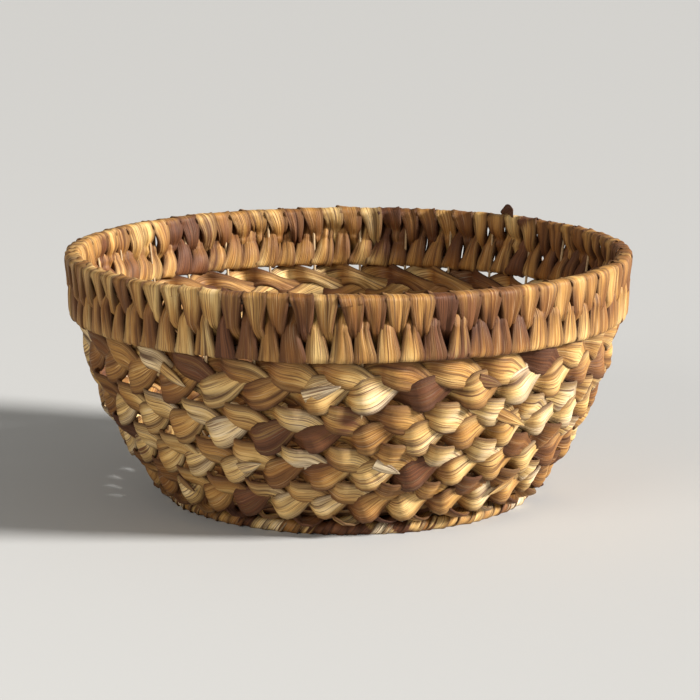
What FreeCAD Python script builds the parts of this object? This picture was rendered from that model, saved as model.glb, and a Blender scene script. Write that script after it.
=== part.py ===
"""Round, tapered basket plaited from flat water hyacinth strips over a light wire frame.

Origin: middle of the footprint, on the ground. +Z points up. Millimetres.
A thin wire stake stands behind every leaf of the weave. All stakes start at a small ring
under the middle of the floor, run outwards, bend up and end below the top ring of the rim.
"""

import FreeCAD, Part
import math
import os

# Overall shape
overall_height = 158.0
rim_radius = 180.0
wall_top_inset = 13.0
wall_foot_radius = 120.0
wall_bulge = 8.2

# Rim: a band of strips laced in a figure of eight over two wire rings
rim_band_height = 41.0
rim_band_thickness = 12.0
rim_band_waist = 9.0
rim_band_lean = 2.0
rim_gap = 2.5
rim_ring_wire = 4.0

# Wall and floor: plaits of three flat strands worked round the stakes
wall_plait_count = 4
plait_thickness = 8.6
foot_plait_width = 27.0
foot_plait_reach = 18.9
floor_plait_count = 3
floor_bend_radius = 2.0

# Frame
stake_count = 33
stake_wire = 1.7
centre_pad_radius = 32.0
centre_ring_inset = 6.0
centre_ring_wire = 3.0

# Foot ring that the basket stands on
foot_ring_inset = 6.5
foot_ring_thickness = 8.2
foot_ring_wire = 4.0
foot_flat_width = 3.0

# Gap left wherever two pieces touch
clearance = 0.4

# Sizes that follow from the ones above
wall_top_radius = rim_radius - wall_top_inset
foot_ring_middle = math.sqrt((foot_ring_thickness / 2) ** 2 - (foot_flat_width / 2) ** 2)
foot_ring_radius = wall_foot_radius - foot_ring_inset
floor_middle = foot_ring_middle + foot_ring_thickness / 2 + clearance + plait_thickness / 2
wall_top = overall_height - rim_band_height
bend_radius = floor_bend_radius + plait_thickness / 2
rim_top_middle = overall_height - rim_band_thickness / 2
rim_bottom_middle = wall_top + rim_band_thickness / 2
rim_top_radius = rim_radius - rim_band_thickness / 2
rim_bottom_radius = rim_top_radius - rim_band_lean
centre_ring_radius = centre_pad_radius - centre_ring_inset


def point(radius, height):
    """A point in the plane of section, at a radius from the basket's axis."""
    return FreeCAD.Vector(radius, 0, height)


def wall_circle():
    """Middle and radius of the arc that the wall's middle line follows."""
    foot = point(wall_foot_radius, floor_middle)
    top = point(wall_top_radius, wall_top)
    chord = top - foot
    outward = FreeCAD.Vector(chord.z, 0, -chord.x).normalize()
    radius = ((chord.Length / 2) ** 2 + wall_bulge ** 2) / (2 * wall_bulge)
    middle = (foot + top) * 0.5 + outward * (wall_bulge - radius)
    return middle, radius


arc_middle, arc_radius = wall_circle()
bend_height = floor_middle + bend_radius
bend_reach = math.sqrt((arc_radius - bend_radius) ** 2 - (bend_height - arc_middle.z) ** 2)
bend_middle = point(arc_middle.x + bend_reach, bend_height)

# The middle line runs from the wall's top down the arc, round the bend and over the floor.
top_angle = math.atan2(wall_top - arc_middle.z, wall_top_radius - arc_middle.x)
foot_angle = math.atan2(bend_middle.z - arc_middle.z, bend_middle.x - arc_middle.x)
wall_length = arc_radius * (top_angle - foot_angle)
bend_length = bend_radius * (foot_angle + math.pi / 2)
floor_start = wall_length + bend_length


def middle_line(distance, offset=0.0):
    """Point on the middle line, a distance down from the wall's top, moved outwards by offset."""
    if distance <= wall_length:
        angle = top_angle - distance / arc_radius
        reach = arc_radius + offset
        return arc_middle + point(math.cos(angle), math.sin(angle)) * reach
    if distance <= floor_start:
        angle = foot_angle - (distance - wall_length) / bend_radius
        reach = bend_radius + offset
        return bend_middle + point(math.cos(angle), math.sin(angle)) * reach
    return point(bend_middle.x - (distance - floor_start), floor_middle - offset)


def edge_through(start, middle, end):
    """A straight edge where the three points lie in line, or else an arc."""
    if (middle - (start + end) * 0.5).Length < 0.0001:
        return Part.LineSegment(start, end).toShape()
    return Part.Arc(start, middle, end).toShape()


def edges_along(start, end, offset=0.0):
    """Edges that follow the middle line at an offset, from one distance to another."""
    joints = [d for d in (wall_length, floor_start) if start < d < end]
    stops = [start] + joints + [end]
    return [
        edge_through(middle_line(a, offset), middle_line((a + b) / 2, offset), middle_line(b, offset))
        for a, b in zip(stops, stops[1:])
    ]


def revolved(edges):
    """The solid swept by a closed section turned once round the basket's axis."""
    face = Part.Face(Part.Wire(Part.sortEdges(edges)[0]))
    return face.revolve(FreeCAD.Vector(0, 0, 0), FreeCAD.Vector(0, 0, 1), 360)


def plait_ring(start, end):
    """Ring of plait between two distances on the middle line, with rounded edges."""
    half = plait_thickness / 2
    first = start + half
    last = end - half
    edges = edges_along(first, last, half) + edges_along(first, last, -half)
    edges.append(edge_through(middle_line(first, half), middle_line(start), middle_line(first, -half)))
    edges.append(edge_through(middle_line(last, half), middle_line(end), middle_line(last, -half)))
    return revolved(edges)


def wire_ring(radius, height, wire):
    return Part.makeTorus(radius, wire / 2, FreeCAD.Vector(0, 0, height))


def stake(wire, end_gap):
    """One stake, from beside the centre ring, over the floor, up the wall and into the rim."""
    inner_end = floor_start + bend_middle.x - centre_ring_radius - centre_ring_wire / 2 - end_gap
    top = middle_line(0)
    up = middle_line(0) - arc_middle
    rise = rim_top_middle - rim_ring_wire / 2 - end_gap - wall_top
    end = top + FreeCAD.Vector(-up.z, 0, up.x) * (rise / up.x)
    edges = [Part.LineSegment(end, top).toShape()] + edges_along(0, inner_end)
    path = Part.Wire(edges)
    section = Part.Wire(Part.makeCircle(wire / 2, end, top - end))
    return path.makePipeShell([section], True, False)


def turned(shape, number):
    """A copy of a shape, turned to the place of the stake with this number."""
    copy = shape.copy()
    copy.rotate(FreeCAD.Vector(0, 0, 0), FreeCAD.Vector(0, 0, 1), 360 * number / stake_count)
    return copy


def rim_lacing(all_stake_room):
    """The rim band: rounded over both rings and drawn in between them."""
    half = rim_band_thickness / 2
    waist = rim_band_waist / 2
    top = point(rim_top_radius, rim_top_middle)
    bottom = point(rim_bottom_radius, rim_bottom_middle)
    along = (top - bottom).normalize()
    out = FreeCAD.Vector(along.z, 0, -along.x)
    middle = (top + bottom) * 0.5
    band = revolved([
        edge_through(top + out * half, middle + out * waist, bottom + out * half),
        edge_through(top - out * half, middle - out * waist, bottom - out * half),
        edge_through(top + out * half, top + along * half, top - out * half),
        edge_through(bottom + out * half, bottom - along * half, bottom - out * half),
    ])
    room = rim_ring_wire + 2 * clearance
    upper = wire_ring(rim_top_radius, rim_top_middle, room)
    lower = wire_ring(rim_bottom_radius, rim_bottom_middle, room)
    return band.cut([upper, lower] + all_stake_room)


def foot_ring_wrap():
    """The wrapping of the foot ring: round, with a flat underside."""
    half = foot_ring_thickness / 2
    flat = foot_flat_width / 2
    left = point(foot_ring_radius - flat, 0)
    right = point(foot_ring_radius + flat, 0)
    crown = point(foot_ring_radius, foot_ring_middle + half)
    ring = revolved([edge_through(left, crown, right), Part.LineSegment(left, right).toShape()])
    room = wire_ring(foot_ring_radius, foot_ring_middle, foot_ring_wire + 2 * clearance)
    return ring.cut(room)


def centre_pad(all_stake_room):
    """The small round pad of strands wound over the centre ring."""
    half = plait_thickness / 2
    flat = centre_pad_radius - half
    pad = revolved([
        Part.LineSegment(point(0, floor_middle - half), point(flat, floor_middle - half)).toShape(),
        edge_through(
            point(flat, floor_middle - half),
            point(centre_pad_radius, floor_middle),
            point(flat, floor_middle + half),
        ),
        Part.LineSegment(point(flat, floor_middle + half), point(0, floor_middle + half)).toShape(),
        Part.LineSegment(point(0, floor_middle + half), point(0, floor_middle - half)).toShape(),
    ])
    room = wire_ring(centre_ring_radius, floor_middle, centre_ring_wire + 2 * clearance)
    return pad.cut([room] + all_stake_room)


def save(name, shape):
    shape.exportStep("parts/" + name + ".step")


os.makedirs("parts", exist_ok=True)

# The frame of wires
save("rim_top_ring", wire_ring(rim_top_radius, rim_top_middle, rim_ring_wire))
save("rim_bottom_ring", wire_ring(rim_bottom_radius, rim_bottom_middle, rim_ring_wire))
save("foot_ring_core", wire_ring(foot_ring_radius, foot_ring_middle, foot_ring_wire))
save("floor_centre_ring", wire_ring(centre_ring_radius, floor_middle, centre_ring_wire))
first_stake = stake(stake_wire, clearance)
for number in range(stake_count):
    save("stake_%02d" % (number + 1), turned(first_stake, number))

# The weave, with a way through it for every stake
stake_room = stake(stake_wire + 2 * clearance, 0)
all_stake_room = [turned(stake_room, number) for number in range(stake_count)]
save("rim_lacing", rim_lacing(all_stake_room))
foot_plait_end = floor_start + foot_plait_reach
foot_plait_start = foot_plait_end - foot_plait_width
wall_plait_width = (foot_plait_start - rim_gap) / wall_plait_count
for row in range(wall_plait_count):
    start = rim_gap + row * wall_plait_width
    ring = plait_ring(start, start + wall_plait_width - clearance)
    save("wall_plait_%d" % (row + 1), ring.cut(all_stake_room))
save("foot_plait", plait_ring(foot_plait_start, foot_plait_end - clearance).cut(all_stake_room))
floor_end = floor_start + bend_middle.x - centre_pad_radius
floor_plait_width = (floor_end - foot_plait_end) / floor_plait_count
for row in range(floor_plait_count):
    start = foot_plait_end + row * floor_plait_width
    ring = plait_ring(start, start + floor_plait_width - clearance)
    save("floor_plait_%d" % (row + 1), ring.cut(all_stake_room))
save("floor_centre_pad", centre_pad(all_stake_room))
save("foot_ring_wrap", foot_ring_wrap())
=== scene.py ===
"""A round, tapered basket plaited from flat strips of dried water hyacinth stem."""
import math

import bpy
import numpy as np
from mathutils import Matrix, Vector


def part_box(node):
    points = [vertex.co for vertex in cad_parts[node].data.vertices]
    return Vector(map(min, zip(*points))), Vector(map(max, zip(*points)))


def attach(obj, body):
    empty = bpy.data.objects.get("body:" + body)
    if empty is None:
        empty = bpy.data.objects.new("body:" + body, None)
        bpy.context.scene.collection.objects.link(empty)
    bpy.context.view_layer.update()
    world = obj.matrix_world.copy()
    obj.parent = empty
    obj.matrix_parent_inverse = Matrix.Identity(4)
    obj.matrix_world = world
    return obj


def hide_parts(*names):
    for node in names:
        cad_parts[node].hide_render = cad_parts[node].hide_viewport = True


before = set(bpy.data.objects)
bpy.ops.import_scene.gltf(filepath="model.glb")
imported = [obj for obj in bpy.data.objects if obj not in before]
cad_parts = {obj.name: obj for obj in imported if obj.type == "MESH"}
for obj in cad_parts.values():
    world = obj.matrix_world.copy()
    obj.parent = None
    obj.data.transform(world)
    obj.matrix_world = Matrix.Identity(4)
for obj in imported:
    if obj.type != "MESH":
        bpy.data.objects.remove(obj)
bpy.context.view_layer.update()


# ---------------------------------------------------------------------------------------------
# Stakes: thin peeled cane rods. One stands behind every leaf of the weave. They start at the
# small ring under the floor, run outwards, bend up and end below the top ring of the rim.
# ---------------------------------------------------------------------------------------------

class Shade:
    """A socket of a material. Sums and products of these add Math nodes."""

    def __init__(self, tree, socket=None):
        self.tree = tree
        self.socket = socket

    def node(self, kind, settings, values, output=0):
        """The output of a new node: its settings are made first, then its sockets are filled."""
        made = self.tree.nodes.new(kind)
        for name, value in settings.items():
            if name == "stops":
                for spare in range(len(value) - 2):
                    made.color_ramp.elements.new(0.5)
                for element, (place, colour) in zip(made.color_ramp.elements, value):
                    element.position = place
                    element.color = (*colour, 1.0)
            else:
                setattr(made, name, value)
        for name, value in values.items():
            if isinstance(value, Shade):
                self.tree.links.new(value.socket, made.inputs[name])
            else:
                made.inputs[name].default_value = value
        return Shade(self.tree, made.outputs[output])

    def math(self, operation, first, second=0.0):
        return self.node("ShaderNodeMath", {"operation": operation}, {0: first, 1: second})

    def clamped(self):
        return self.node("ShaderNodeClamp", {}, {0: self})

    def mixed(self, first, second, blend="MIX"):
        """Two colours mixed, with this value as the share of the second."""
        settings = {"data_type": "RGBA", "blend_type": blend}
        return self.node("ShaderNodeMix", settings, {0: self, 6: first, 7: second}, 2)

    def __add__(self, other):
        return self.math("ADD", self, other)

    def __sub__(self, other):
        return self.math("SUBTRACT", self, other)

    def __mul__(self, other):
        return self.math("MULTIPLY", self, other)

    def __pow__(self, other):
        return self.math("POWER", self, other)

    def __rsub__(self, other):
        return self.math("SUBTRACT", other, self)

    __radd__ = __add__
    __rmul__ = __mul__


def new_material(name, roughness):
    """A material and its main shader, with the roughness that holds where nothing varies it."""
    material = bpy.data.materials.new(name)
    material.use_nodes = True
    shader = material.node_tree.nodes["Principled BSDF"]
    shader.inputs["Roughness"].default_value = roughness
    return material, shader, Shade(material.node_tree)


def connect(shade, shader, socket):
    shade.tree.links.new(shade.socket, shader.inputs[socket])


def peeled_cane():
    """Pale, slightly streaked cane with a dry surface."""
    material, shader, shade = new_material("peeled_cane", 0.6)
    place = shade.node("ShaderNodeTexCoord", {}, {}, 3)
    grain = shade.node("ShaderNodeTexNoise", {}, {"Vector": place, "Scale": 420.0, "Detail": 4.0})
    stain = shade.node("ShaderNodeTexNoise", {}, {"Vector": place, "Scale": 35.0, "Detail": 2.0})
    ramp = {"stops": [(0.25, (0.20, 0.11, 0.05)), (0.5, (0.38, 0.25, 0.12)), (0.8, (0.56, 0.43, 0.25))]}
    connect(shade.node("ShaderNodeValToRGB", ramp, {0: grain * 0.6 + stain * 0.4}), shader, "Base Color")
    connect(0.5 + grain * 0.25, shader, "Roughness")
    bump = shade.node("ShaderNodeBump", {}, {"Strength": 0.5, "Distance": 0.0002, "Height": grain})
    connect(bump, shader, "Normal")
    return material


def dress(names, material):
    """Gives CAD parts that stay in view their finished material."""
    for name in names:
        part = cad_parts[name]
        part.data.materials.clear()
        part.data.materials.append(material)


stake_names = sorted(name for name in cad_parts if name.startswith("stake_"))
dress(stake_names, peeled_cane())


# ---------------------------------------------------------------------------------------------
# Wire rings: four rings of brown lacquered steel wire. Two lie in the rim, one in the foot ring
# and a small one under the middle of the floor. The weave hides them but for a few gaps.
# ---------------------------------------------------------------------------------------------

def lacquered_wire():
    """Dark brown lacquer over steel wire, worn lighter in small spots."""
    material, shader, shade = new_material("lacquered_wire", 0.4)
    place = shade.node("ShaderNodeTexCoord", {}, {}, 3)
    wear = shade.node("ShaderNodeTexNoise", {}, {"Vector": place, "Scale": 160.0, "Detail": 3.0})
    ramp = {"stops": [(0.35, (0.035, 0.018, 0.010)), (0.6, (0.085, 0.045, 0.024)), (0.8, (0.22, 0.15, 0.10))]}
    connect(shade.node("ShaderNodeValToRGB", ramp, {0: wear}), shader, "Base Color")
    connect(0.3 + wear * 0.3, shader, "Roughness")
    return material


dress(["rim_top_ring", "rim_bottom_ring", "foot_ring_core", "floor_centre_ring"], lacquered_wire())


# ---------------------------------------------------------------------------------------------
# Wall plaits: four rows of three flat hyacinth strands each, plaited round the stakes. Every
# strand is one soft, hollow stem pressed flat, 10 to 20 mm wide, with creases along it.
# ---------------------------------------------------------------------------------------------

def hyacinth(name, brightness):
    """Dried, flattened stem: straw to brown along each strand, with long fibres, and painted shade darkening
    its creases and its edges.

    Reads from the mesh: the map Strand (metres along and round a strand) and the colour Fibre
    (red its tone, green how dark it has dried, blue how much painted shade darkens its creases and
    edges, the edges being partly their own brown, alpha its own number).
    """
    material, shader, shade = new_material(name, 0.5)
    shader.inputs["Specular IOR Level"].default_value = 0.26
    strand = shade.node("ShaderNodeUVMap", {"uv_map": "Strand"}, {})
    fibre = shade.node("ShaderNodeAttribute", {"attribute_name": "Fibre"}, {})
    number = shade.node("ShaderNodeAttribute", {"attribute_name": "Fibre"}, {}, 3)
    tone = shade.node("ShaderNodeSeparateColor", {}, {0: fibre}, 0)
    dried = shade.node("ShaderNodeSeparateColor", {}, {0: fibre}, 1)
    crease_and_edge_shade = shade.node("ShaderNodeSeparateColor", {}, {0: fibre}, 2)
    shift = shade.node("ShaderNodeCombineXYZ", {}, {2: number * 97.0})
    place = shade.node("ShaderNodeVectorMath", {"operation": "ADD"}, {0: strand, 1: shift})

    def along(per_metre, across_per_metre, detail):
        """Noise drawn out along the strand."""
        scale = (per_metre, across_per_metre, 1.0)
        stretched = shade.node("ShaderNodeVectorMath", {"operation": "MULTIPLY"}, {0: place, 1: scale})
        return shade.node("ShaderNodeTexNoise", {}, {"Vector": stretched, "Scale": 1.0, "Detail": detail})

    cloud = along(26.0, 110.0, 2.0)
    streak = along(14.0, 1800.0, 4.0)
    hair = along(45.0, 3300.0, 3.0)
    speck = along(900.0, 1300.0, 2.0)
    level = tone + cloud * 0.72 + streak * 0.40 - 0.535
    ramp = {"stops": [
        (0.14, (0.080, 0.024, 0.006)),
        (0.33, (0.255, 0.103, 0.021)),
        (0.48, (0.480, 0.250, 0.064)),
        (0.63, (0.735, 0.485, 0.180)),
        (0.85, (0.920, 0.740, 0.480)),
    ]}
    colour = shade.node("ShaderNodeValToRGB", ramp, {0: level * brightness})
    dark_ramp = {"stops": [
        (0.32, (0.024, 0.008, 0.003)),
        (0.52, (0.100, 0.032, 0.011)),
        (0.70, (0.320, 0.130, 0.046)),
    ]}
    dark = shade.node("ShaderNodeValToRGB", dark_ramp, {0: streak * 0.7 + cloud * 0.3})
    patch = (dried * 2.6 + streak * 3.0 + cloud * 2.0 - 3.2).clamped()
    colour = patch.mixed(colour, dark)
    line = ((hair - 0.53) * 11.0).clamped()
    colour = (line * 0.72).mixed(colour, (0.150, 0.054, 0.016, 1.0))
    thread = ((streak - 0.57) * 18.0).clamped()
    colour = (thread * 0.78).mixed(colour, (0.120, 0.040, 0.012, 1.0))
    pale = ((0.42 - hair) * 6.0).clamped()
    colour = (pale * 0.28 * (1.0 - dried)).mixed(colour, (0.90, 0.74, 0.46, 1.0))
    # Painted shade: creases and strand edges are darkened as if in shadow; the edges are partly their own
    # brown too.
    colour = (crease_and_edge_shade * 0.95).clamped().mixed(colour, (0.060, 0.020, 0.007, 1.0))
    connect(colour, shader, "Base Color")
    connect((0.40 + hair * 0.22 + crease_and_edge_shade * 0.2 + speck * 0.06).clamped(), shader, "Roughness")
    height = hair * 0.55 + streak * 0.45 + speck * 0.10
    bump = shade.node("ShaderNodeBump", {}, {"Strength": 0.8, "Distance": 0.0012, "Height": height})
    connect(bump, shader, "Normal")
    return material


def drift(places, spacing, seed, closed_at=None):
    """Smooth random values between about -1 and 1, with a new one at every spacing."""
    knots = np.random.default_rng(seed).uniform(-1.0, 1.0, 4096)
    steps = np.asarray(places, float) / spacing + 64.0
    first = np.floor(steps).astype(int)
    share = steps - first
    share = share * share * (3.0 - 2.0 * share)
    following = first + 1
    if closed_at is not None:
        turns = int(round(closed_at / spacing))
        first = first % turns
        following = following % turns
    return knots[first % 4096] * (1.0 - share) + knots[following % 4096] * share


def unit(vectors):
    return vectors / np.maximum(np.linalg.norm(vectors, axis=-1, keepdims=True), 1e-9)


strand_rim = 26        # points round a strand
crease_count = 3       # creases on each of its two faces
crease_width = 0.11    # over the strand's half width
edge_shade_and_brown = 0.92       # how dark a strand's edges are, partly painted shade of the gaps beside them and partly their own brown, and how fast that fades towards its middle
edge_fade = 2.4


def strand(name, middle, face, half_width, half_thickness, tone, dried, seed, material, closed=False,
           crease_depth=0.5, roll=None, arch=None):
    """A flat hollow stem along a line of points, as one closed mesh.

    middle: points of the line. face: the way its upper face looks at each point. The sizes, the
    tone and how dark it has dried are given at each point too. roll turns it about its line,
    and arch lifts its middle above its edges.
    """
    count = len(middle)
    if closed:
        along = unit(np.roll(middle, -1, 0) - np.roll(middle, 1, 0))
        gaps = np.linalg.norm(np.roll(middle, -1, 0) - middle, axis=1)
    else:
        along = unit(np.gradient(middle, axis=0))
        gaps = np.append(np.linalg.norm(np.diff(middle, axis=0), axis=1), 0.0)
    length = np.concatenate([[0.0], np.cumsum(gaps)])[:count]
    whole = length[-1] + gaps[-1]
    side = unit(np.cross(along, face))
    up = unit(np.cross(side, along))
    if roll is not None:
        cosine = np.cos(roll)[:, None]
        sine = np.sin(roll)[:, None]
        side, up = side * cosine + up * sine, up * cosine - side * sine

    def wander(spacing, number):
        """Random values along the strand, which meet again where it closes."""
        if closed:
            return drift(length, whole / max(3, round(whole / spacing)), seed * 131 + number, whole)
        return drift(length, spacing, seed * 131 + number)

    turn = np.arange(strand_rim) * 2.0 * math.pi / strand_rim
    across = np.sign(np.cos(turn)) * np.abs(np.cos(turn)) ** 0.85
    bulge = np.sign(np.sin(turn)) * np.abs(np.sin(turn)) ** 0.62
    upper = bulge > 0
    groove = np.zeros((count, strand_rim))
    for number in range(crease_count * 2):
        on_face = upper if number % 2 else ~upper
        start = (number // 2 + 0.5) / crease_count * 2.0 - 1.0
        line = 0.78 * start + 0.22 * wander(0.045, number)
        depth = np.clip(0.55 + 0.65 * wander(0.030, number + 20), 0.0, 1.0)
        dent = np.exp(-((across[None, :] - line[:, None]) / crease_width) ** 2)
        groove += dent * depth[:, None] * on_face[None, :]
    groove = np.clip(groove, 0.0, 1.0) * (1.0 - np.abs(across[None, :]) ** 6)
    # Painted shade: the colour darkens in the creases and towards the edges, standing in for the shade there
    # and between leaves; the edges are partly their own brown too.
    shade_and_edge_brown = np.maximum(groove, edge_shade_and_brown * np.abs(across[None, :]) ** edge_fade)
    lumps = np.zeros((count, strand_rim))
    for number, reach in enumerate((-0.7, 0.0, 0.7)):
        bell = np.exp(-((across[None, :] - reach) / 0.45) ** 2)
        lumps += bell * np.where(upper[None, :], wander(0.011, number + 40)[:, None],
                                 wander(0.011, number + 50)[:, None])
    skew = 0.22 * wander(0.05, 60)
    rise = bulge[None, :] * (1.0 - crease_depth * groove + 0.16 * lumps)
    rise = rise * half_thickness[:, None]
    if arch is not None:
        rise = rise + arch[:, None] * (1.0 - across[None, :] ** 2)
    rise = rise + skew[:, None] * half_thickness[:, None] * across[None, :]
    ragged = 0.07 * np.where(across > 0, wander(0.018, 61)[:, None], wander(0.018, 62)[:, None])
    wide = across[None, :] * half_width[:, None] * (1.0 + ragged)
    points = middle[:, None, :] + side[:, None, :] * wide[:, :, None] + up[:, None, :] * rise[:, :, None]
    return solid_strand(name, points, length, whole, half_width, tone, dried, shade_and_edge_brown, seed, material, closed)


def solid_strand(name, points, length, whole, half_width, tone, dried, shade_and_edge_brown, seed, material, closed):
    """The mesh object for rings of points, with its maps, its fibre colours and its material."""
    count, rim = points.shape[:2]
    steps = count if closed else count - 1
    step = np.repeat(np.arange(steps), rim)
    place = np.tile(np.arange(rim), steps)
    after = (step + 1) % count
    beside = (place + 1) % rim
    faces = np.stack([step * rim + place, step * rim + beside, after * rim + beside, after * rim + place], 1)
    vertices = points.reshape(-1, 3)
    caps = [] if closed else [list(range(rim))[::-1], list(range((count - 1) * rim, count * rim))]
    mesh = bpy.data.meshes.new(name)
    mesh.from_pydata(vertices.tolist(), [], faces[:, ::-1].tolist() + [cap[::-1] for cap in caps])
    mesh.shade_smooth()

    ends = np.append(length, whole)
    far = ends[step + 1]
    near = ends[step]
    girth = 4.4 * float(np.mean(half_width))      # twice the full width, and a little for its curves
    low = place / rim * girth
    high = (place + 1) / rim * girth
    corners = np.stack([np.stack([far, low], 1), np.stack([far, high], 1),
                        np.stack([near, high], 1), np.stack([near, low], 1)], 1)
    flat = np.zeros((len(mesh.loops), 2))
    flat[:len(faces) * 4] = corners.reshape(-1, 2)
    mesh.uv_layers.new(name="Strand").uv.foreach_set("vector", flat.ravel())

    rows = max(1, round(math.sqrt(whole / girth)))
    row = np.minimum(step * rows // steps, rows - 1)
    row_start = -(-row * steps // rows)
    row_steps = -(-(row + 1) * steps // rows) - row_start
    gap = 0.06 / rows

    def packed(stop, turn_share):
        left = 0.004 + 0.992 * (stop - row_start) / row_steps
        return np.stack([left, (row + turn_share) / rows * (1.0 - gap) + gap * (0.5 - turn_share)], 1)

    corners = np.stack([packed(step + 1, place / rim), packed(step + 1, (place + 1) / rim),
                        packed(step, (place + 1) / rim), packed(step, place / rim)], 1)
    flat[:len(faces) * 4] = corners.reshape(-1, 2)
    mesh.uv_layers.new(name="OFBake").uv.foreach_set("vector", flat.ravel())

    colours = np.empty((count, rim, 4))
    colours[:, :, 0] = tone[:, None]
    colours[:, :, 1] = dried[:, None]
    # Blue: the painted shade of creases and edges, partly the edges' own brown.
    colours[:, :, 2] = shade_and_edge_brown
    colours[:, :, 3] = (seed * 0.6180339) % 1.0
    mesh.attributes.new("Fibre", "FLOAT_COLOR", "POINT").data.foreach_set("color", colours.ravel())
    mesh.materials.append(material)
    made = bpy.data.objects.new(name, mesh)
    bpy.context.scene.collection.objects.link(made)
    return made


# The wall's middle line is one arc from the floor to the rim, as the stakes bend it.
wall_top_radius = 0.167
wall_foot_radius = 0.120
wall_bulge = 0.0082
bend_radius = 0.0063
plait_width = 0.027
first_plait_starts = 0.0025
wall_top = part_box("rim_lacing")[0].z
floor_middle = (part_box("floor_centre_ring")[0].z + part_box("floor_centre_ring")[1].z) / 2
chord = np.array([wall_top_radius - wall_foot_radius, wall_top - floor_middle])
chord_length = float(np.hypot(*chord))
arc_radius = ((chord_length / 2) ** 2 + wall_bulge ** 2) / (2 * wall_bulge)
arc_middle = (np.array([wall_foot_radius, floor_middle]) + chord / 2
              + np.array([chord[1], -chord[0]]) / chord_length * (wall_bulge - arc_radius))
bend_middle = np.array([arc_middle[0] + math.sqrt((arc_radius - bend_radius) ** 2
                                                  - (floor_middle + bend_radius - arc_middle[1]) ** 2),
                        floor_middle + bend_radius])
top_angle = math.atan2(wall_top - arc_middle[1], wall_top_radius - arc_middle[0])
foot_angle = math.atan2(bend_middle[1] - arc_middle[1], bend_middle[0] - arc_middle[0])
wall_length = arc_radius * (top_angle - foot_angle)
floor_starts = wall_length + bend_radius * (foot_angle + math.pi / 2)


def on_middle_line(distance):
    """Radius and height on the middle line, and the outward direction there, down from its top."""
    on_wall = distance <= wall_length
    on_floor = distance > floor_starts
    angle = np.where(on_wall, top_angle - distance / arc_radius,
                     foot_angle - (distance - wall_length) / bend_radius)
    angle = np.where(on_floor, -math.pi / 2, angle)
    reach = np.where(on_wall, arc_radius, bend_radius)
    centre_radius = np.where(on_wall, arc_middle[0], bend_middle[0])
    centre_height = np.where(on_wall, arc_middle[1], bend_middle[1])
    radius = centre_radius + reach * np.cos(angle)
    height = centre_height + reach * np.sin(angle)
    radius = np.where(on_floor, bend_middle[0] - (distance - floor_starts), radius)
    height = np.where(on_floor, floor_middle, height)
    return radius, height, np.cos(angle), np.sin(angle)


def in_the_round(turn, radius, height):
    return np.stack([radius * np.cos(turn), radius * np.sin(turn), np.broadcast_to(height, turn.shape)], -1)


def bearing(degrees):
    """The turn about +Z of a direction, counted from the front towards the right."""
    return math.radians(degrees - 90.0)


stake_phase = math.radians(48.0)   # where a leaf's wave stands at each stake, so that the leaves cover it
fold_lag = 0.85                    # how sharply a strand folds back at the edge of its row
widest_at = math.radians(131.0)    # where on its wave a leaf is widest
lightest_at = math.radians(178.0)    # and where on its wave it is lightest, darkening towards a quarter wave either side
narrow_share = 0.152               # a strand's half width over the row's, between its leaves
belly_share = 0.182                # and what a leaf's belly adds to it
sway_share = 0.262                 # how far a strand swings to each side, over the row's width
strand_share = 0.155               # a strand's half thickness over the plait's
lift_share = 0.34                  # how far a strand's line lies from the middle, over the thickness
leaf_dome = 0.0014                 # how much a leaf's middle stands above its edges
bank_angle = 0.26                  # how far a leaf leans towards the middle of its row
row_step = 0.0024                  # distance between points along a strand
upper_leaf_at = 0.72 * math.pi     # where on the wave the middle of an upper and of a lower leaf is
lower_leaf_at = 1.72 * math.pi


def by_leaf(phase, seed, whole):
    """A random value between -1 and 1 for every leaf of a strand."""
    return drift(phase + math.pi / 4, math.pi, seed, whole)


def darkened(dried, dark_leaves, turn, wave, leaves):
    """How dark a strand has dried, once the listed leaves of it have their own share."""
    for degrees, side in dark_leaves:
        apart = (turn - bearing(degrees) + math.pi) % (2.0 * math.pi) - math.pi
        away = apart * leaves / 3.0
        leaf_middle = upper_leaf_at if side > 0 else lower_leaf_at
        here = float(np.interp(0.0, np.sort(away), wave[np.argsort(away)]))
        off = (here - leaf_middle + math.pi) % (2.0 * math.pi) - math.pi
        if abs(off) <= math.pi / 3 + 0.05:
            much = 0.62 + 0.30 * ((abs(degrees) * 0.37) % 1.0)
            dried = np.maximum(dried, much * np.clip(1.9 - np.abs(away + off) / 0.95, 0.0, 1.0))
    return dried


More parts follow.
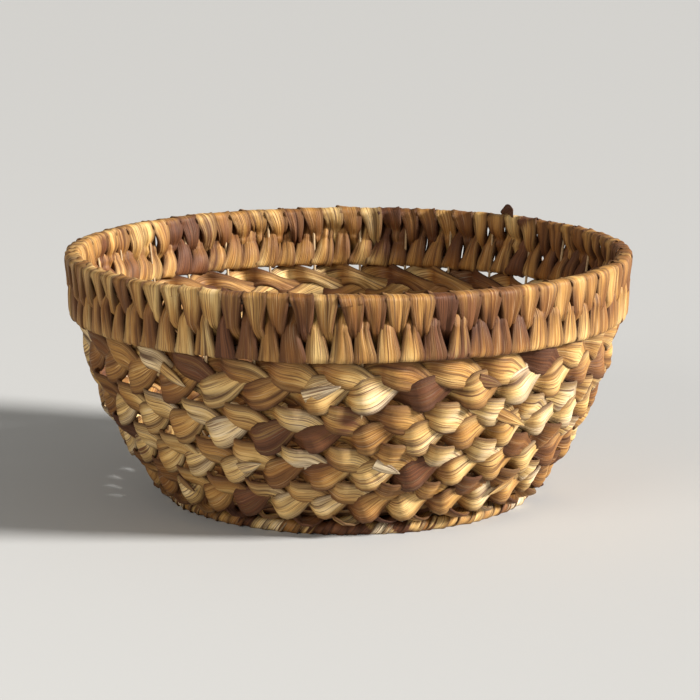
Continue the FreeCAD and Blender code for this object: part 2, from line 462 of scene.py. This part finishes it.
def plait(name, row_middle, row_width, leaves, thickness, dark_leaves, seed, material, node):
    """Three strands plaited flat round the stakes, one leaf to a stake.

    dark_leaves: (bearing, side) of leaves that dried dark, where side is 1 for the row's upper
    leaves and -1 for the lower ones.
    """
    radius_here = float(on_middle_line(np.array(row_middle))[0])
    steps = max(60, int(2 * math.pi * radius_here / row_step))
    turn = np.arange(steps) * 2.0 * math.pi / steps
    whole = leaves / 3.0 * 2.0 * math.pi
    for number in range(3):
        own = seed * 17 + number * 5
        phase = leaves / 3.0 * turn + number * 2.0 * math.pi / 3.0 + stake_phase
        wave = phase + 0.17 * drift(phase, math.pi, own + 1, whole)
        sway = np.sin(wave)
        lift = -np.sin(2.0 * wave - fold_lag * np.sin(2.0 * wave))
        belly = 0.5 + 0.5 * np.cos(2.0 * (wave - widest_at))
        half_width = row_width * (narrow_share + belly_share * belly ** 1.3)
        half_width = half_width * (1.0 + 0.12 * by_leaf(phase, own + 2, whole))
        half_thickness = thickness * (strand_share + 0.040 * by_leaf(phase, own + 3, whole))
        half_thickness = half_thickness * (1.0 + 0.15 * (1.0 - np.abs(lift)))
        across = sway * row_width * sway_share * (1.0 + 0.08 * by_leaf(phase, own + 4, whole))
        out = lift * thickness * lift_share * (1.0 + 0.25 * by_leaf(phase, own + 5, whole))
        radius, height, out_x, out_z = on_middle_line(row_middle - across)
        middle = in_the_round(turn, radius + out * out_x, height + out * out_z)
        face = in_the_round(turn, out_x, out_z)
        bank = bank_angle * sway * lift + 0.15 * by_leaf(phase, own + 6, whole)
        # Lighter towards each leaf's tip and darker towards its start.
        along_leaf_lightness = np.cos(2.0 * (wave - lightest_at))
        tone = 0.53 + 0.17 * by_leaf(phase, own + 7, whole) + 0.10 * along_leaf_lightness
        # Painted shade: a strand is darker where it passes between the layers, under the leaves beside it.
        tone = tone - 0.12 * (1.0 - np.abs(lift)) ** 1.5
        tone = tone + 0.12 * drift(phase, math.pi * 3, own + 8, whole)
        dried = np.clip(by_leaf(phase, own + 9, whole) - 0.84, 0.0, 0.16) * 4.0
        dried = darkened(dried, dark_leaves, turn, wave, leaves)
        piece = strand("%s_strand_%d" % (name, number + 1), middle, face, half_width, half_thickness, tone,
                       dried, own, material, closed=True, roll=-bank, arch=leaf_dome * belly * lift)
        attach(piece, "root")
        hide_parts(node)


wall_leaves = 33
plait_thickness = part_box("floor_plait_1")[1].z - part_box("floor_plait_1")[0].z
plait_fibre = hyacinth("plaited_hyacinth", 1.0)
dark_by_row = [
    [(-30.0, 1), (41.5, 1), (14.3, -1), (120.0, 1), (-150.0, -1)],
    [(-5.5, -1), (-17.0, -1), (-100.0, 1), (150.0, -1)],
    [(20.0, -1), (-62.0, 1), (95.0, -1), (-130.0, 1)],
    [(-28.0, -1), (72.0, 1), (170.0, 1)],
]
row_overlap = 1.155        # a row's drawn width over its share of the wall, so that rows interlock
top_row_overlap = 1.20
top_row_rise = 0.0020      # how far the top row is pushed up under the rim
for row, dark_leaves in enumerate(dark_by_row):
    node = "wall_plait_%d" % (row + 1)
    middle = first_plait_starts + (row + 0.5) * plait_width - (top_row_rise if row == 0 else 0.0)
    width = plait_width * (top_row_overlap if row == 0 else row_overlap)
    plait(node, middle, width, wall_leaves, plait_thickness, dark_leaves, 11 + row, plait_fibre, node)


# ---------------------------------------------------------------------------------------------
# Foot plait: the fifth row, half on the wall and half under it, where the stakes bend. It is
# plaited from the same strands, a little narrower.
# ---------------------------------------------------------------------------------------------

foot_plait_middle = first_plait_starts + (len(dark_by_row) + 0.5) * plait_width
foot_plait_overlap = 1.10
foot_plait_thickness = plait_thickness * 0.92
foot_dark_leaves = [(-35.0, 1), (5.0, 1), (80.0, 1), (-160.0, 1)]
plait("foot_plait", foot_plait_middle, plait_width * foot_plait_overlap, wall_leaves, foot_plait_thickness,
      foot_dark_leaves, 23, plait_fibre, "foot_plait")


# ---------------------------------------------------------------------------------------------
# Floor: three flat rows of plait round the stakes, each with fewer leaves than the one outside
# it, and a small pad at the middle, plaited round a knot over the centre ring.
# ---------------------------------------------------------------------------------------------

floor_leaves = [24, 18, 12]
floor_overlap = 1.13
floor_thickness = plait_thickness * 0.9
for row, leaves in enumerate(floor_leaves):
    node = "floor_plait_%d" % (row + 1)
    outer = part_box(node)[1].x
    inner_node = "floor_plait_%d" % (row + 2) if row + 1 < len(floor_leaves) else "floor_centre_pad"
    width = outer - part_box(inner_node)[1].x
    middle = floor_starts + bend_middle[0] - (outer - width / 2)
    dark_leaves = [(40.0 + 100.0 * row, 1), (-120.0 + 50.0 * row, -1)]
    plait(node, middle, width * floor_overlap, leaves, floor_thickness, dark_leaves, 31 + row, plait_fibre,
          node)

pad_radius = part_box("floor_centre_pad")[1].x
knot_radius = 0.010
pad_width = pad_radius - knot_radius
pad_middle = floor_starts + bend_middle[0] - (pad_radius - pad_width / 2)
plait("floor_pad", pad_middle, pad_width, 6, floor_thickness, [], 37, plait_fibre, "floor_centre_pad")


def knot(name, turn, seed):
    """A short strand laid across the middle of the pad, with its ends tucked down."""
    place = np.linspace(-1.0, 1.0, 40)
    reach = knot_radius * 1.35
    middle = np.stack([place * reach * math.cos(turn), place * reach * math.sin(turn),
                       floor_middle + plait_thickness * (0.26 - 0.42 * place ** 4)], 1)
    face = np.tile([0.0, 0.0, 1.0], (len(place), 1))
    half_width = 0.0058 * (1.0 - 0.35 * place ** 2)
    half_thickness = np.full(len(place), 0.0015)
    tone = 0.5 + 0.2 * place
    made = strand(name, middle, face, half_width, half_thickness, tone, place * 0, seed, plait_fibre)
    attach(made, "root")
    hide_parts("floor_centre_pad")
    return made


knot("floor_knot_over", 0.4, 401)
knot("floor_knot_under", 2.2, 402).location.z = -plait_thickness * 0.36


# ---------------------------------------------------------------------------------------------
# Rim lacing: ten long flat strips, laced one after another in a figure of eight over the two
# rim rings. Each pass shows as a V below the top edge and the next one as a V upside down.
# ---------------------------------------------------------------------------------------------

laps = 80
strips = 10
rim_fibre = hyacinth("rim_hyacinth", 0.90)
ring_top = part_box("rim_top_ring")
ring_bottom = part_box("rim_bottom_ring")
top_radius = ring_top[1].x - (ring_top[1].z - ring_top[0].z) / 2
bottom_radius = ring_bottom[1].x - (ring_bottom[1].z - ring_bottom[0].z) / 2
top_height = (ring_top[0].z + ring_top[1].z) / 2
bottom_height = (ring_bottom[0].z + ring_bottom[1].z) / 2
lap_width = 2.0 * math.pi * top_radius / laps
half_height = (top_height - bottom_height) / 2
points_per_lap = 76
lobe = 0.0048              # from a ring's middle to the middle of a strip over it
waist_out = 0.36           # how far the outer passes stand out half way between the rings, over the lobe
waist_in = 0.98            # and the inner ones, which lie inside the stakes
crossing_lag = 0.15        # how long an outer pass stays outside after it is half way
crossing_steepness = 1.6
waist_half_width = 0.32    # a strip's half width where it crosses, over the lap, and over a ring
ring_half_width = 0.54
strip_half_thickness = 0.00090
crossing_bulge = 0.00320   # how much thicker a strip is where it is squeezed through to the other side
# bearing of laps that dried dark, and how dark
dark_laps = [(-24.0, 0.9), (-20.0, 0.5), (16.0, 0.6), (19.5, 1.0), (24.0, 0.5), (-137.0, 0.9), (-141.0, 0.8),
             (-146.0, 0.5), (171.0, 0.8), (167.0, 0.5), (136.0, 0.9), (90.0, 0.5), (-75.0, 0.6),
             (-110.0, 0.7)]


def by_half(lap, seed, spread):
    """A random value for every half lap, eased from one to the next where it crosses."""
    return spread * drift(lap * 2.0 + 0.5, 1.0, seed, laps * 2.0)


for number in range(strips):
    lap = number * laps / strips + np.arange(int(points_per_lap * laps / strips) + 10) / points_per_lap
    cycle = lap * 2.0 * math.pi
    up_share = np.cos(cycle)
    crossing = cycle - (crossing_lag + by_half(lap, 910, 0.26)) * np.sin(cycle) ** 2
    out_share = np.tanh(crossing_steepness * np.sin(2.0 * crossing)) / math.tanh(crossing_steepness)
    level = up_share * (half_height + lobe * (1.0 + by_half(lap, 902, 0.07)))
    share = 0.5 + 0.5 * np.clip(level / half_height, -1.0, 1.0)
    outer_reach = waist_out + (1.0 - waist_out) * np.abs(up_share)
    reach = np.where(out_share > 0, outer_reach, waist_in - 0.10 * up_share) * (1.0 + by_half(lap, 901, 0.16))
    radius = bottom_radius + (top_radius - bottom_radius) * share + out_share * lobe * reach
    height = (top_height + bottom_height) / 2 + level
    lean = 0.12 * (1.0 - np.cos(cycle)) / 2.0 - 0.14 * np.sin(cycle) ** 2 + 0.035 * np.sin(2.0 * cycle)
    lean = lean + by_half(lap, 903, 0.10) * np.abs(np.sin(cycle))
    turn = bearing(0.0) + (lap + lean) * 2.0 * math.pi / laps
    middle = in_the_round(turn, radius, height)
    along = unit(np.gradient(middle, axis=0))
    round_ring = in_the_round(turn + math.pi / 2, np.ones(len(turn)), 0.0)
    face = unit(np.cross(round_ring, along))
    spread = np.abs(up_share) ** 0.9
    widening = (ring_half_width - waist_half_width) * np.minimum(np.abs(up_share) / 0.8, 1.0)
    half_width = lap_width * (waist_half_width + widening) * (1.0 + by_half(lap, 904, 0.12))
    half_thickness = strip_half_thickness + crossing_bulge * (1.0 - spread) ** 1.3
    half_thickness = half_thickness + by_half(lap, 905, 0.00020)
    # Painted shade: the tone drops where a strip crosses between the rings, behind the other strips, and
    # rises over the rings.
    tone = 0.47 + by_half(lap, 906, 0.14) + 0.12 * drift(lap, 3.0, 907, laps) + 0.14 * (spread - 0.5)
    dried = np.clip(by_half(lap, 908, 1.0) - 0.86, 0.0, 0.14) * 4.0
    for degrees, much in dark_laps:
        apart = (turn - bearing(degrees) + math.pi) % (2.0 * math.pi) - math.pi
        dried = np.maximum(dried, much * np.clip(1.5 - np.abs(apart) / (math.pi / laps) / 0.8, 0.0, 1.0))
    roll = -0.15 * np.sin(cycle) * np.abs(np.sin(cycle)) + by_half(lap, 909, 0.10) * (1.0 - spread * 0.7)
    arch = 0.0006 * spread * (1.0 - np.abs(up_share) ** 6)
    strip = strand("rim_lacing_strip_%02d" % (number + 1), middle, face, half_width, half_thickness, tone,
                   dried, 700 + number * 3, rim_fibre, roll=roll, crease_depth=0.62, arch=arch)
    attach(strip, "root")
    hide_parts("rim_lacing")


# ---------------------------------------------------------------------------------------------
# Cut ends: where a strand or a strip ran out, the next one was laid in and the old end was cut
# off slantwise. Most ends lie flat between two leaves. One on the rim stands up.
# ---------------------------------------------------------------------------------------------

end_half_width = 0.0042
end_half_thickness = 0.0011
share = np.linspace(0.0, 1.0, 24)      # along a cut end, from where it comes out to its tip


def cut_end(name, middle, face, half_width, tone, dried, seed, material, node):
    """A short end of strand along a line of points, thinning to its cut tip."""
    narrowed = half_width * np.clip(1.05 - share ** 2.5, 0.12, 1.0)
    thinned = end_half_thickness * (1.0 - 0.6 * share)
    made = strand(name, middle, face, narrowed, thinned, tone + 0.1 * share, np.full(len(share), dried),
                  seed, material)
    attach(made, "root")
    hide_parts(node)


# bearing, row, way it points along the row, its slant across it and how dark it has dried
row_ends = [(-41.0, 1, 1, 0.5, 0.0), (-9.0, 1, 1, -0.4, 0.0), (27.0, 1, 1, 0.3, 0.6), (33.0, 2, 1, 0.5, 0.0),
            (-26.0, 3, 1, -0.5, 0.0), (6.0, 3, 1, 0.4, 0.0), (47.0, 4, -1, 0.3, 0.0), (-49.0, 4, 1, 0.4, 0.5),
            (118.0, 1, 1, 0.5, 0.0), (163.0, 2, -1, 0.4, 0.0), (-104.0, 3, 1, 0.4, 0.0),
            (-152.0, 1, 1, 0.5, 0.5)]
for number, (degrees, row, way, slant, dried) in enumerate(row_ends):
    run = 0.017 + 0.004 * math.sin(number * 2.4)
    distance = first_plait_starts + (row - 0.5) * plait_width + slant * run * (share - 0.6)
    radius, height, out_x, out_z = on_middle_line(distance)
    out = plait_thickness * (0.30 + 0.36 * share ** 0.8)
    turn = bearing(degrees) + way * share * run / 0.15
    middle = in_the_round(turn, radius + out * out_x, height + out * out_z)
    face = in_the_round(turn, out_x, out_z)
    tone = 0.60 + 0.15 * math.sin(number * 1.7)
    cut_end("cut_end_%02d" % (number + 1), middle, face, end_half_width, tone, dried, 1700 + number,
            plait_fibre, "wall_plait_%d" % row)

rim_end_half_width = 0.0085
rim_end_rise = 0.0085
turn = bearing(142.0) - share * 0.055
height = top_height + 0.002 + rim_end_rise * share ** 0.8
middle = in_the_round(turn, top_radius + 0.003 - 0.007 * share, height)
face = in_the_round(turn, np.full(len(share), -1.0), 0.3)
cut_end("cut_end_rim", middle, face, rim_end_half_width, 0.40, 0.9, 1731, rim_fibre,
        "rim_lacing")


# ---------------------------------------------------------------------------------------------
# Foot ring wrapping: six narrow strips wound slantwise round the foot ring's wire, edge over
# edge. The basket stands on them, so they are pressed flat underneath.
# ---------------------------------------------------------------------------------------------

foot_winds = 78
foot_strips = 6
foot_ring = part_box("foot_ring_core")
foot_wire = (foot_ring[1].z - foot_ring[0].z) / 2
foot_radius = foot_ring[1].x - foot_wire
foot_middle = (foot_ring[0].z + foot_ring[1].z) / 2
foot_wrap_reach = 0.0031       # from the wire's middle to the middle of a strip over it
foot_half_thickness = 0.00085
points_per_wind = 30
for number in range(foot_strips):
    wind = number * foot_winds / foot_strips
    wind = wind + np.arange(int(points_per_wind * foot_winds / foot_strips) + 6) / points_per_wind
    spin = wind * 2.0 * math.pi
    loose = drift(wind, 1.0, 951, foot_winds)
    reach = foot_wrap_reach * (1.0 + 0.10 * loose)
    turn = bearing(10.0) + (wind + 0.16 * np.sin(spin) + 0.12 * loose) * 2.0 * math.pi / foot_winds
    radius = foot_radius + reach * np.cos(spin)
    height = foot_middle + reach * np.sin(spin)
    middle = in_the_round(turn, radius, height)
    face = in_the_round(turn, np.cos(spin), np.sin(spin))
    half_width = np.pi * foot_radius / foot_winds * (1.12 + 0.25 * drift(wind, 1.0, 952, foot_winds))
    half_thickness = np.full(len(wind), foot_half_thickness)
    tone = 0.50 + 0.30 * drift(wind, 1.0, 953, foot_winds)
    dried = np.clip(drift(wind, 1.3, 954, foot_winds) - 0.45, 0.0, 0.25) * 4.0
    strip = strand("foot_wrap_strip_%d" % (number + 1), middle, face, half_width, half_thickness, tone,
                   dried, 1300 + number * 7, plait_fibre)
    for vertex in strip.data.vertices:
        vertex.co.z = max(vertex.co.z, 0.0)
    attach(strip, "root")
    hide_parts("foot_ring_wrap")


# ---------------------------------------------------------------------------------------------
# Studio: a plain pale floor, soft sunlight from the right, a weak square light from the left and
# a camera a little over a metre and a half away, looking slightly down on the basket.
# ---------------------------------------------------------------------------------------------

floor_reach = 9.0
floor_corners = [(x * floor_reach, y * floor_reach, 0.0) for x, y in ((-1, -1), (1, -1), (1, 1), (-1, 1))]
floor_mesh = bpy.data.meshes.new("studio_floor")
floor_mesh.from_pydata(floor_corners, [], [(0, 1, 2, 3)])
studio_floor = bpy.data.objects.new("studio_floor", floor_mesh)
bpy.context.scene.collection.objects.link(studio_floor)
floor_paint, floor_shader, _ = new_material("studio_floor", 0.85)
floor_shader.inputs["Base Color"].default_value = (0.44, 0.435, 0.42, 1.0)
floor_mesh.materials.append(floor_paint)

world = bpy.data.worlds.new("studio")
world.use_nodes = True
world.node_tree.nodes["Background"].inputs["Color"].default_value = (1.0, 0.985, 0.955, 1.0)
world.node_tree.nodes["Background"].inputs["Strength"].default_value = 0.27
bpy.context.scene.world = world


def lamp(kind, name, place, size, power, colour):
    """A soft light that looks at the basket's middle: a SUN by its angle, an AREA by its side."""
    light = bpy.data.lights.new(name, kind)
    if kind == "SUN":
        light.angle = size
    else:
        light.size = size
    light.energy = power
    light.color = colour
    made = bpy.data.objects.new(name, light)
    made.location = place
    made.rotation_euler = (Vector((0.0, 0.0, 0.08)) - Vector(place)).to_track_quat("-Z", "Y").to_euler()
    bpy.context.scene.collection.objects.link(made)


lamp("SUN", "key_light", (1.62, -0.42, 0.82), 0.20, 9.2, (1.0, 0.99, 0.98))
lamp("AREA", "fill_light", (-1.3, -1.7, 1.0), 1.2, 22.0, (1.0, 0.99, 0.95))

bpy.context.scene.view_settings.view_transform = "Standard"
camera = bpy.data.objects.new("camera", bpy.data.cameras.new("camera"))
camera.data.lens = 136.5
camera.data.sensor_width = 36.0
camera.location = (0.001, -1.664, 0.4235)
camera.rotation_euler = (math.radians(90.0 - 11.31), 0.0, 0.0)
bpy.context.scene.collection.objects.link(camera)
bpy.context.scene.camera = camera
bpy.context.view_layer.update()
